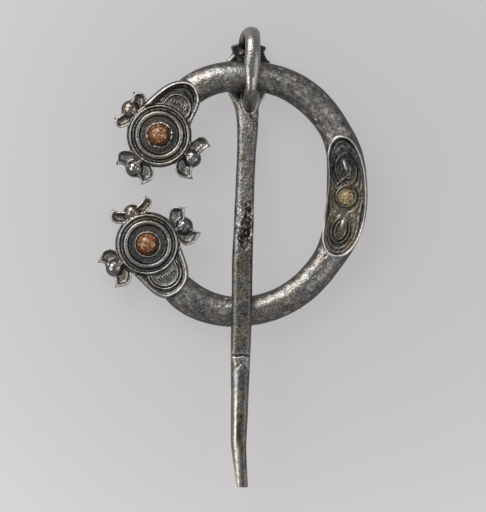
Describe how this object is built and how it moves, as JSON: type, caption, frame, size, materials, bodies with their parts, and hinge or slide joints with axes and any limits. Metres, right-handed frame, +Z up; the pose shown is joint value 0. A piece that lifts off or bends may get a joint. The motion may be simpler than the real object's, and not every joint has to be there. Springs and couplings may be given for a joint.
{
  "type": "penannular brooch",
  "caption": "Open cast silver ring with round stud-set terminals, beast heads and a sunk side panel, and a long pin that turns on the ring by a loop.",
  "frame": {"origin": "centre of the hoop, in the hoop's middle plane", "axes": "+X across the hoop from the terminals to the side panel, +Y along the hoop's face towards the pin's head, +Z up out of the face; the hoop leans back 2.7 degrees from flat, as it rests on the pin's head"},
  "size_m": [0.0607, 0.1039, 0.0126],
  "materials": {
    "cast_silver": "cast silver, tarnished dark in the recesses and worn bright on the edges",
    "worn_silver": "hammered silver, evenly worn, with a duller patch and a repair line",
    "amber": "polished amber, crazed inside",
    "decayed_amber": "weathered amber, rough and pale"
  },
  "bodies": {
    "hoop": {"hoop": "cast_silver", "upper_stud": "amber", "lower_stud": "amber", "panel_stud": "decayed_amber"},
    "pin": {"pin": "worn_silver"}
  },
  "joints": [
    {"name": "pin_swing", "type": "hinge", "parent": "hoop", "child": "pin", "pos_m": [0.00207, 0.02568, 0.0012], "axis": [-0.9995, 0.0331, 0.0015], "range_deg": [0, 345]}
  ]
}
